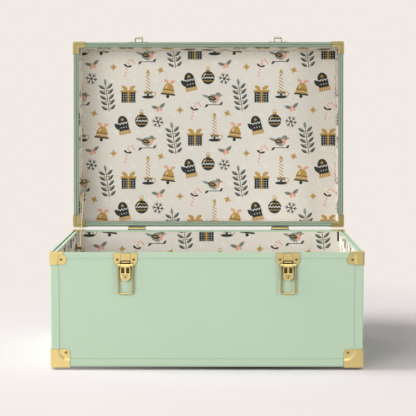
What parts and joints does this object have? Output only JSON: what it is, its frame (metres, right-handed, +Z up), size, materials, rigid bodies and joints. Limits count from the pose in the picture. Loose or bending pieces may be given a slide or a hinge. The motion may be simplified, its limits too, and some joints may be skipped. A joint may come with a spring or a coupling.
{
  "type": "keepsake trunk",
  "caption": "Lidded storage trunk of painted board with brass corners, printed lining, two bail latches, two hinges and a folding lid stay; shown open.",
  "frame": {"origin": "under the middle of the open trunk's bounding box, on the floor", "axes": "+Z up, -Y towards the front with the latches, +X to the right seen from the front"},
  "size_m": [0.6142, 0.5654, 0.6675],
  "materials": {
    "painted_panel": "sage green leathercloth over board, semi matt",
    "painted_edging": "sage green paint, satin",
    "printed_lining": "printed cloth on board, linen weave",
    "brass": "brass plated, satin",
    "stay_brass": "brass plated strip",
    "spring_steel": "dark spring steel",
    "rubber": "black, matt"
  },
  "bodies": {
    "base": {"base_front_panel": "painted_panel", "base_back_panel": "painted_panel", "base_left_panel": "painted_panel", "base_right_panel": "painted_panel", "base_bottom_panel": "painted_panel", "base_rim": "painted_edging", "base_edging": "painted_edging", "base_uprights": "painted_edging", "base_linings": "printed_lining", "floor_lining": "printed_lining", "base_corners": "brass", "base_rim_corners": "brass", "base_screws": "brass", "glides": "rubber", "hinge_base_leaves": "brass", "hinge_pins": "brass", "latch_plates": "brass", "latch_pins": "brass", "latch_springs": "spring_steel", "stay_base_bracket": "stay_brass"},
    "lid": {"lid_front_panel": "painted_panel", "lid_back_panel": "painted_panel", "lid_left_panel": "painted_panel", "lid_right_panel": "painted_panel", "lid_top_panel": "painted_panel", "lid_rim": "painted_edging", "lid_edging": "painted_edging", "lid_uprights": "painted_edging", "lid_linings": "printed_lining", "lid_top_lining": "printed_lining", "lid_corners": "brass", "lid_rim_corners": "brass", "lid_screws": "brass", "hinge_lid_leaves": "brass", "keepers": "brass", "stay_lid_bracket": "stay_brass"},
    "lever_left": {"lever_left": "brass"},
    "lever_right": {"lever_right": "brass"},
    "bail_left": {"bail_left": "brass"},
    "bail_right": {"bail_right": "brass"},
    "lock_plug_left": {"lock_plug_left": "brass"},
    "lock_plug_right": {"lock_plug_right": "brass"},
    "stay_lower": {"stay_lower_link": "stay_brass", "stay_rivet": "stay_brass"},
    "stay_upper": {"stay_upper_link": "stay_brass"}
  },
  "joints": [
    {"name": "lid_hinge", "type": "hinge", "parent": "base", "child": "lid", "pos_m": [0, 0.14858, 0.233], "axis": [1, 0, 0], "range_deg": [0, 94.4]},
    {"name": "stay_lower_pivot", "type": "hinge", "parent": "base", "child": "stay_lower", "pos_m": [-0.282, 0.09198, 0.1985], "axis": [1, 0, 0], "range_deg": [0, 94.4]},
    {"name": "stay_upper_pivot", "type": "hinge", "parent": "lid", "child": "stay_upper", "pos_m": [-0.282, 0.22462, 0.33497], "axis": [1, 0, 0], "range_deg": [-94.4, 0]},
    {"name": "lever_left_hinge", "type": "hinge", "parent": "base", "child": "lever_left", "pos_m": [-0.158, -0.27912, 0.2065], "axis": [-1, 0, 0], "range_deg": [0, 100]},
    {"name": "bail_left_hinge", "type": "hinge", "parent": "base", "child": "bail_left", "pos_m": [-0.158, -0.27912, 0.2065], "axis": [-1, 0, 0], "range_deg": [0, 180]},
    {"name": "lock_plug_left_turn", "type": "hinge", "parent": "lever_left", "child": "lock_plug_left", "pos_m": [-0.158, -0.27912, 0.1849], "axis": [0, -1, 0], "range_deg": [0, 90]},
    {"name": "lever_right_hinge", "type": "hinge", "parent": "base", "child": "lever_right", "pos_m": [0.158, -0.27912, 0.2065], "axis": [-1, 0, 0], "range_deg": [0, 100]},
    {"name": "bail_right_hinge", "type": "hinge", "parent": "base", "child": "bail_right", "pos_m": [0.158, -0.27912, 0.2065], "axis": [-1, 0, 0], "range_deg": [0, 180]},
    {"name": "lock_plug_right_turn", "type": "hinge", "parent": "lever_right", "child": "lock_plug_right", "pos_m": [0.158, -0.27912, 0.1849], "axis": [0, -1, 0], "range_deg": [0, 90]}
  ],
  "couplings": [
    {"joint": "stay_lower_pivot", "follows": "lid_hinge", "ratio": 1},
    {"joint": "stay_upper_pivot", "follows": "lid_hinge", "ratio": -1}
  ]
}
